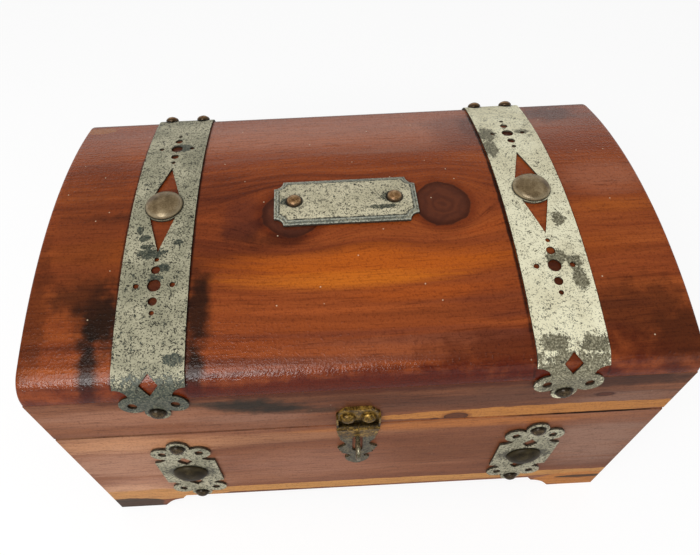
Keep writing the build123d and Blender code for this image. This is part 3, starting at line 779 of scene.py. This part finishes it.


# Cast and turned fastenings. The heads are smooth: soft clouds of three browns, a rim
# tone that is painted light (a highlight on the studs, a dark shadow ring on the nails), and a
# fine grit.

strapStud = {
    "dark": (94, 77, 53),
    "middle": (134, 114, 83),
    "light": (166, 146, 113),
    # Painted highlight: the lighter rim of the studs.
    "rim": (166, 152, 124),
    "rimmed": 0.5,
    "clouds": 0.22,
    "grit": 2.2,
    "metal": 0.35,
    "gloss": 0.3,
    "sheen": 0.3,
    "relief": 0.05,
}
# A darker copy of the strap studs' bronze: painted shade, as the bracket studs on the front stand
# out of the light. Its lighter rim is a painted highlight.
shadedBracketStud = {
    **strapStud,
    "dark": (26, 20, 9),
    "middle": (42, 34, 18),
    "light": (70, 60, 38),
    "rim": (62, 54, 36),
    "metal": 0.1,
    "gloss": 0.42,
    "sheen": 0.14,
}
roundHead = {
    **strapStud,
    "dark": (34, 27, 17),
    "middle": (66, 53, 34),
    "light": (108, 90, 62),
    # Painted shadow: the dark ring round the nails' heads.
    "rim": (30, 24, 15),
    "rimmed": 0.8,
    "clouds": 0.5,
    "gloss": 0.26,
}
plateHead = {**roundHead, "dark": (92, 62, 36), "middle": (150, 113, 74), "light": (190, 154, 110)}
haspBrass = {
    **strapStud,
    "dark": (46, 34, 12),
    "middle": (106, 80, 34),
    "light": (188, 150, 70),
    "rimmed": 0.0,
    "clouds": 0.45,
    "grit": 1.1,
    "metal": 0.5,
    "below": ((46, 46, 33), (116, 111, 90)),
    "belowFrom": (85.5, 82),
    "dirt": (34, 26, 14),
    "knuckleShadeBand": (99.4, 2.2),     # height of its middle, half its width
}
hingeBrass = {
    **haspBrass,
    "dark": (92, 74, 38),
    "middle": (128, 104, 58),
    "light": (164, 138, 84),
    "below": None,
}
stapleWire = {
    **strapStud,
    "dark": (60, 54, 38),
    "middle": (112, 104, 80),
    "light": (176, 168, 142),
    "rimmed": 0.0,
    "clouds": 0.5,
    "metal": 0.6,
    "gloss": 0.26,
}


def mottled(name, metal):
    paint = Paint(name)
    cloud = paint.noise(paint.spot, metal["clouds"], 3, 0.6)
    grit = paint.noise(paint.spot, metal["grit"], 3, 0.7)
    value = cloud * 0.62 + grit * 0.38
    colour = paint.ramp(value, (
        (0.36, tone(*metal["dark"])),
        (0.5, tone(*metal["middle"])),
        (0.64, tone(*metal["light"])),
    ))
    if metal["rimmed"]:
        # The rim tone is painted light: a highlight on the studs' rims, a shadow ring on the
        # nails.
        edge = paint.fade(paint.own("rim") + (cloud - 0.5) * 0.3, 0.8, 0.96)
        colour = paint.mix(edge * metal["rimmed"], colour, tone(*metal["rim"]))
    if metal.get("below"):
        # Lower down the gilding is gone and grey-green metal shows. Painted shade lies in a band
        # under the knuckles, in the recess between them and the nails.
        edge = paint.z + (cloud - 0.5) * 7 + (grit - 0.5) * 4
        gone = paint.fade(edge, *metal["belowFrom"])
        greyDark, greyLight = (tone(*shade) for shade in metal["below"])
        grey = paint.mix(paint.fade(grit, 0.4, 0.62), greyDark, greyLight)
        colour = paint.mix(gone * 0.9, colour, grey)
        height, half = metal["knuckleShadeBand"]
        knuckleShade = paint.fade(abs(paint.z - height) + (grit - 0.5) * 1.2, half, half * 0.6)
        colour = paint.mix(knuckleShade * 0.9, colour, tone(*metal["dirt"]))
    sockets = {
        "Roughness": metal["gloss"] + (grit - 0.5) * 0.2,
        "Metallic": metal["metal"],
        "Specular IOR Level": metal["sheen"],
    }
    return paint.finish(colour, sockets, grit * 0.4 + cloud * 0.6, metal["relief"])


# The finish of each slot, and below them those of pieces that differ from their slot's
finishes = {
    "cedar_top": cedar("cedarTop", topBoard),
    "cedar_rail": cedar("cedarRail", frontRail),
    "cedar_front": cedar("cedarFront", frontBoard),
    "cedar_back": cedar("cedarBack", backBoard),
    "cedar_end": cedar("cedarEnd", endBoard),
    "cedar_panel": cedar("cedarPanel", insidePanel),
    "silvered_sheet": silvered("silveredBracket", cornerBracket),
    "silvered_plate": silvered("silveredPlate", namePlate),
    "bronze_stud": mottled("shadedBronzeBracketStud", shadedBracketStud),
    "bronze_nail": mottled("bronzeNail", roundHead),
    "hasp_brass": mottled("haspBrass", haspBrass),
    "hinge_brass": mottled("hingeBrass", hingeBrass),
    "staple_wire": mottled("stapleWire", stapleWire),
}
ownFinishes = {
    "strapLeft": silvered("silveredLeftStrap", leftStrap),
    "strapRight": silvered("silveredRightStrap", rightStrap),
    "strapStuds": mottled("bronzeStrapStud", strapStud),
    "plateNails": mottled("bronzePlateNail", plateHead),
    "strapBackNails": mottled("bronzeBackNail", plateHead),
}
print("materials made:", len(finishes) + len(ownFinishes))


# Pieces

making = {
    "mergeGap": 1.5e-6,      # points closer than this become one
    "sharpNew": 40,          # an edge that turns further than this many degrees stays sharp
    "sharpCopy": 30,
    "flatCopy": 0.3,         # triangles of a copy that turn less than this become one face
    "edgeSteps": 2,
    "edgeAngle": 35,
}


def gridFaces(rows, columns, wrap, offset):
    # Quads between neighbouring rows and columns of a grid, whose columns may form a ring
    row = np.arange(rows - 1)[:, None]
    column = np.arange(columns if wrap else columns - 1)[None, :]
    after = (column + 1) % columns
    corners = (row * columns + column, row * columns + after,
               (row + 1) * columns + after, (row + 1) * columns + column)
    return np.stack([corner.ravel() for corner in corners], axis=1) + offset


def newPiece(name, grids, slot, body, nodes, marks=None):
    # grids are (points, wrap): arrays of rows x columns x 3, made into one closed mesh.
    # marks are one number for each point, kept on the mesh as its rim.
    points, faces, offset = [], [], 0
    for grid, wrap in grids:
        rows, columns = grid.shape[:2]
        points.append(grid.reshape(-1, 3))
        faces.append(gridFaces(rows, columns, wrap, offset))
        offset += rows * columns
    mesh = bpy.data.meshes.new(name)
    mesh.from_pydata(np.concatenate(points).tolist(), [], np.concatenate(faces).tolist())
    if marks is not None:
        kept = mesh.attributes.new("rim", "FLOAT", "POINT")
        kept.data.foreach_set("value", np.ascontiguousarray(marks, np.float32))
    finishPiece(name, mesh, slot, body, nodes, making["sharpNew"])


def finishPiece(name, mesh, slot, body, nodes, sharpAngle, flatten=0.0):
    # Doubled points are merged and the faces turned outwards, before the piece gets its
    # smooth shading, its finish and its place in the frame.
    shape = bmesh.new()
    shape.from_mesh(mesh)
    bmesh.ops.remove_doubles(shape, verts=shape.verts, dist=making["mergeGap"])
    if flatten:
        bmesh.ops.dissolve_limit(
            shape, angle_limit=math.radians(flatten), verts=shape.verts, edges=shape.edges
        )
    bmesh.ops.recalc_face_normals(shape, faces=shape.faces)
    shape.to_mesh(mesh)
    shape.free()
    mesh.polygons.foreach_set("use_smooth", np.ones(len(mesh.polygons), bool))
    mesh.set_sharp_from_angle(angle=math.radians(sharpAngle))
    mesh.materials.clear()
    mesh.materials.append(ownFinishes.get(name, finishes[slot]))
    piece = addObject(name, mesh)
    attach(piece, body)
    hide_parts(*nodes)
    return piece


def roundEdges(piece, width):
    bevel = piece.modifiers.new("edges", "BEVEL")
    bevel.width = width
    bevel.segments = making["edgeSteps"]
    bevel.limit_method = "ANGLE"
    bevel.angle_limit = math.radians(making["edgeAngle"])
    bevel.harden_normals = True


def mergedCopy(node, name, slot, body):
    # The node's own shape with its loose triangles joined up, so that edges can be rounded
    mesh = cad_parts[node].data.copy()
    for spare in ("custom_normal", "sharp_edge"):
        if spare in mesh.attributes:
            mesh.attributes.remove(mesh.attributes[spare])
    return finishPiece(
        name, mesh, slot, body, [node], making["sharpCopy"], making["flatCopy"]
    )


# Each has its slot, its body and the width of its rounded edges, in metres.
boards = {
    "base_front": ("cedar_front", "base", 0.0005),
    "base_back": ("cedar_back", "base", 0.0005),
    "base_left_end": ("cedar_end", "base", 0.0004),
    "base_right_end": ("cedar_end", "base", 0.0004),
    "lid_front_rail": ("cedar_rail", "lid", 0.0004),
    "lid_back_rail": ("cedar_back", "lid", 0.0004),
    "lid_left_end": ("cedar_end", "lid", 0.0004),
    "lid_right_end": ("cedar_end", "lid", 0.0004),
}
sheets = {
    "strap_left": ("silvered_sheet", "lid", 0.00015),
    "strap_right": ("silvered_sheet", "lid", 0.00015),
    "bracket_left": ("silvered_sheet", "base", 0.00018),
    "bracket_right": ("silvered_sheet", "base", 0.00018),
    "hasp_leaf": ("hasp_brass", "lid", 0.00015),
    "hasp_flap": ("hasp_brass", "hasp", 0.0002),
    "name_plate": ("silvered_plate", "lid", 0.00015),
}
for body in ("lid", "base"):
    for side in ("left", "right"):
        sheets[f"hinge_{side}_{body}_leaf"] = ("hinge_brass", body, 0.0002)


def camel(node):
    first, *rest = node.split("_")
    return first + "".join(word.capitalize() for word in rest)


for node, (slot, body, width) in {**boards, **sheets}.items():
    roundEdges(mergedCopy(node, camel(node), slot, body), width)
print("boards and sheets rounded")


def lidSection(run, lift=0.0):
    # Depth and height of the lid's outside at a run along it: a straight front, a small
    # arc over the shoulder, the wide arc of the dome, and the same again at the back.
    run = np.asarray(run, float)
    parts = [run <= 0, run <= cornerRun, run <= cornerRun + domeRun, run <= wholeRun]
    tilt = np.select(
        parts,
        [
            -np.pi / 2 + 0 * run,
            -np.pi / 2 + run / chest["cornerRadius"],
            -domeTilt + (run - cornerRun) / chest["domeRadius"],
            domeTilt + (run - cornerRun - domeRun) / chest["cornerRadius"],
        ],
        np.pi / 2,
    )
    side, up = np.sin(tilt), np.cos(tilt)
    small, wide = chest["cornerRadius"] + lift, chest["domeRadius"] + lift
    half = chest["depth"] / 2 + lift
    depth = np.select(
        parts,
        [-half + 0 * run, -cornerCentre + small * side, wide * side, cornerCentre + small * side],
        half,
    )
    height = np.select(
        parts,
        [
            chest["spring"] + run,
            chest["spring"] + small * up,
            domeHeight + wide * up,
            chest["spring"] + small * up,
        ],
        chest["spring"] - (run - wholeRun),
    )
    return depth + chest["depthShift"], height, tilt


topShape = {
    "profileSteps": 120,
    "lengthSteps": 160,
    "undersideSteps": 30,
    "arrisSteps": 5,
    "capSteps": 6,
    "undersideEase": 0.0004,
    "middleRise": 0.010,
    "halfRise": 0.012,
    "unevenFrom": 0.006,
    "unevenness": 0.00012,
    "waves": ((1.0, 61, 1.0, 83, 0.4), (0.6, 140, 2.0, 190, 1.4)),
}


def lidTopBoard(shape):
    # The section of the lid is carried along X. Near each end it shrinks on a quarter
    # circle, and the last ring closes on the middle of the end. Slow sines press the
    # polished surface in by a tenth of a millimetre.
    steps, ease, under = shape["profileSteps"], shape["undersideEase"], shape["undersideSteps"]
    depth, height, _ = lidSection(np.linspace(0, wholeRun, steps))
    half = chest["depth"] / 2
    shift, spring = chest["depthShift"], chest["spring"]
    underside = np.linspace(half - ease, -half + ease, under) + shift
    depth = np.concatenate([depth, [shift + half], underside, [shift - half]])
    height = np.concatenate([height, [spring + ease], np.full(under, spring), [spring + ease]])
    height[:steps] = np.maximum(height[:steps], spring + ease)
    middleHeight = spring + shape["middleRise"]
    arris, reach = chest["endArris"], chest["length"] / 2
    angle = np.linspace(0, np.pi / 2, shape["arrisSteps"])
    inset = np.concatenate([
        arris * (1 - np.sin(angle)),
        np.zeros(shape["lengthSteps"]),
        arris * (1 - np.sin(angle[::-1])),
    ])
    x = np.concatenate([
        -reach + arris * (1 - np.cos(angle)),
        np.linspace(-reach + arris, reach - arris, shape["lengthSteps"] + 2)[1:-1],
        reach - arris * (1 - np.cos(angle[::-1])),
    ])
    sizeDepth = 1 - inset[:, None] / half
    sizeHeight = 1 - inset[:, None] / shape["halfRise"]
    ringDepth = shift + (depth - shift)[None, :] * sizeDepth
    ringHeight = middleHeight + (height - middleHeight)[None, :] * sizeHeight
    acrossX = np.repeat(x[:, None], len(depth), axis=1)
    # Each wave is (height, turns along X, start, turns along Y, start).
    press = sum(
        tall * np.sin(acrossX * alongX + startX) * np.sin(ringDepth * alongY + startY)
        for tall, alongX, startX, alongY, startY in shape["waves"]
    )
    tallest = sum(wave[0] for wave in shape["waves"])
    press = (press + tallest) * shape["unevenness"] / (2 * tallest)
    start = shape["unevenFrom"]
    ringHeight = ringHeight - press * np.clip((ringHeight - spring - start) / start, 0, 1)
    body = np.stack([acrossX, ringDepth, ringHeight], axis=2)
    caps = []
    for end in (0, -1):
        centre = np.broadcast_to([x[end], shift, middleHeight], body[end].shape)
        shares = np.linspace(0, 1, shape["capSteps"])[:, None, None]
        caps.append((body[end][None] * (1 - shares) + centre[None] * shares, True))
    return [(body, True), *caps]


newPiece("lidTop", lidTopBoard(topShape), "cedar_top", "lid", ["lid_top"])
print("lid board made")


# Studs and nails

bigStud = {"radius": 0.0078, "height": 0.0035, "rim": 0.0005, "dents": 0.00012, "around": 64}
roundNail = {"radius": 0.0032, "height": 0.0023, "rim": 0.00035, "dents": 0.00012, "around": 32}
shank = {"radius": 0.0008, "length": 0.0065}
headProfile = {
    "underside": (0.5, 0.8),
    "rimSteps": 5,
    "rimSoftness": 0.45,
    "domeSteps": 14,
    "domePower": 1.15,
    "dentsTurned": 1.7,     # how far the dents turn from one head to the next
}


def capOnSeats(shape, seats):
    # A half section turned about the seat's normal: up the shank, out under the head,
    # round the rim and over the dome. Slow sines press small dents into the dome.
    radius, height, rim = shape["radius"], shape["height"], shape["rim"]
    swell = np.linspace(0, np.pi / 2, headProfile["domeSteps"])
    corner = np.linspace(-np.pi / 2, 0, headProfile["rimSteps"])
    soft = rim * headProfile["rimSoftness"]
    across = np.concatenate([
        [0, shank["radius"], shank["radius"]],
        radius * np.array(headProfile["underside"]),
        radius - soft + soft * np.cos(corner),
        radius * np.cos(swell),
    ])
    up = np.concatenate([
        [-shank["length"], -shank["length"], 0, 0, 0],
        soft + soft * np.sin(corner),
        rim + (height - rim) * np.sin(swell) ** headProfile["domePower"],
    ])
    across[-1] = 0
    turn = np.linspace(0, 2 * np.pi, shape["around"], endpoint=False)[None, :]
    grids = []
    for number, (origin, right, upward, normal) in enumerate(seats):
        phase = headProfile["dentsTurned"] * number
        flat = np.clip((up - rim) / (height - rim), 0, 1)[:, None]
        dent = shape["dents"] * flat * (
            0.5 + 0.25 * np.sin(3 * turn + 9 * flat + phase) + 0.25 * np.sin(5 * turn - 7 * flat)
        )
        lift = up[:, None] - dent * (across[:, None] > 0)
        side = across[:, None] * np.cos(turn)
        over = across[:, None] * np.sin(turn)
        grid = (
            origin
            + side[..., None] * right
            + over[..., None] * upward
            + lift[..., None] * normal
        )
        grids.append((grid, True))
    shares = np.repeat(across / radius, shape["around"])
    return grids, np.tile(shares, len(seats))


def seat(x, run, lift):
    # A place on the lid or the front: its point, its two directions and its normal
    depth, height, tilt = lidSection(run, lift)
    normal = np.array([0.0, math.sin(tilt), math.cos(tilt)])
    right = np.array([1.0, 0.0, 0.0])
    return np.array([x, float(depth), float(height)]), right, np.cross(normal, right), normal


strapMiddles, bracketMiddles = (-0.0783, 0.0783), (-0.0791, 0.0777)
strapBackPairs = [x + side * 0.008 for x in strapMiddles for side in (-1, 1)]
bracketRun, bracketTip = 0.0523 - chest["spring"], 0.0288
haspNailRun = chest["haspAxis"] + 0.0074 - chest["spring"]

# Each has its head, its slot and body, its places along X, its runs up the lid, and how far
# above the wood the head sits.
fastenings = {
    "strap_studs": (
        bigStud, "bronze_stud", "lid", strapMiddles, (wholeRun / 2 + 0.0012,), 0.00125
    ),
    "bracket_studs": (bigStud, "bronze_stud", "base", bracketMiddles, (bracketRun,), 0.0014),
    "strap_front_nails": (roundNail, "bronze_nail", "lid", strapMiddles, (-0.0085,), 0.0011),
    "strap_back_nails": (
        roundNail, "bronze_nail", "lid", strapBackPairs, (wholeRun - 0.0096,), 0.0011
    ),
    "bracket_nails": (
        roundNail, "bronze_nail", "base", bracketMiddles,
        (bracketRun - bracketTip, bracketRun + bracketTip), 0.0014
    ),
    "hasp_nails": (roundNail, "hasp_brass", "lid", (-0.00525, 0.00325), (haspNailRun,), 0.001),
    "plate_nails": (
        roundNail, "bronze_nail", "lid", (-0.02305, 0.01945), (wholeRun / 2 - 0.0009,), 0.0022
    ),
}

for node, (shape, slot, body, places, runs, lift) in fastenings.items():
    grids, shares = capOnSeats(shape, [seat(x, run, lift) for x in places for run in runs])
    newPiece(camel(node), grids, slot, body, [node], marks=shares)
print("studs and nails made")

# The nodes that stay as they are take the finish of their slot.
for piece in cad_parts.values():
    for place in piece.material_slots:
        place.material = finishes[place.material.name.split(".")[0]]


# Floor and light

studio = {
    "worldLight": 0.42,
    "horizon": 1.0,
    "zenith": 0.2,
    "skyBand": (0.5, 0.12),
    "floorReach": 6.0,
    "floorColour": (238, 238, 238),
    "floorSeen": 0.74,
    "floorGlow": 1.1,
    "floorDimmed": 0.3,
    "aim": (0, 0, 0.08),
    "key": {"place": (-0.4, -0.62, 1.05), "wide": 0.7, "deep": 0.7, "power": 5.4},
    "front": {"place": (-0.38, -0.95, 0.9), "wide": 0.62, "deep": 0.3, "power": 4.6},
}
white, black = (1, 1, 1, 1), (0, 0, 0, 1)


def addFloor(light):
    # A pale floor that shows to the camera as nearly white and keeps the chest's soft
    # shadow. In reflections it is dimmer, as the front of the chest shows little of it.
    reach = light["floorReach"]
    mesh = bpy.data.meshes.new("floor")
    corners = [(-reach, -reach, 0), (reach, -reach, 0), (reach, reach, 0), (-reach, reach, 0)]
    mesh.from_pydata(corners, [], [(0, 1, 2, 3)])
    floor = addObject("floor", mesh)
    paint = Paint("paleFloor")
    camera, glossy = paint.ray("Is Camera Ray"), paint.ray("Is Glossy Ray")
    pale = {"Color": tone(*light["floorColour"])}
    matt = paint.node("ShaderNodeBsdfDiffuse", {}, pale, "BSDF")
    glow, dim = paint.glowing(white, light["floorGlow"]), paint.glowing(black, 1.0)
    seen = paint.blendShaders(camera * light["floorSeen"], matt, glow)
    both = paint.blendShaders(glossy * light["floorDimmed"], seen, dim)
    paint.node("ShaderNodeOutputMaterial", {}, {"Surface": both}, None)
    mesh.materials.append(paint.material)


def addRoom(light):
    # White to the camera. In reflections it is white near the horizon and dim overhead.
    world = bpy.data.worlds.new("softRoom")
    bpy.context.scene.world = world
    world.use_nodes = True
    paint = Paint.forTree(world.node_tree)
    height = paint.axis(paint.coordinate("Generated"), 2)
    camera, glossy = paint.ray("Is Camera Ray"), paint.ray("Is Glossy Ray")
    low = paint.fade(height, *light["skyBand"])
    mirrored = low * (light["horizon"] - light["zenith"]) + light["zenith"]
    level = light["worldLight"] * (1 - glossy) + mirrored * glossy
    strength = camera + level * (1 - camera)
    sky = paint.node("ShaderNodeBackground", {}, {"Color": white, "Strength": strength})
    paint.node("ShaderNodeOutputWorld", {}, {"Surface": sky}, None)


def addLamp(name, lamp, aim):
    # A rectangle of light that faces the chest
    data = bpy.data.lights.new(name, "AREA")
    data.shape = "RECTANGLE"
    data.size, data.size_y, data.energy = lamp["wide"], lamp["deep"], lamp["power"]
    ahead = np.array(aim) - np.array(lamp["place"])
    back = -ahead / np.linalg.norm(ahead)
    side = np.cross([0, 0, 1.0], back)
    side = side / np.linalg.norm(side)
    shining = addObject(name, data)
    shining.matrix_world = turnedTo(side, np.cross(back, side), back, lamp["place"])


addFloor(studio)
addRoom(studio)
for name in ("key", "front"):
    addLamp(name, studio[name], studio["aim"])
bpy.context.scene.view_settings.view_transform = "Standard"
print("floor and light placed")
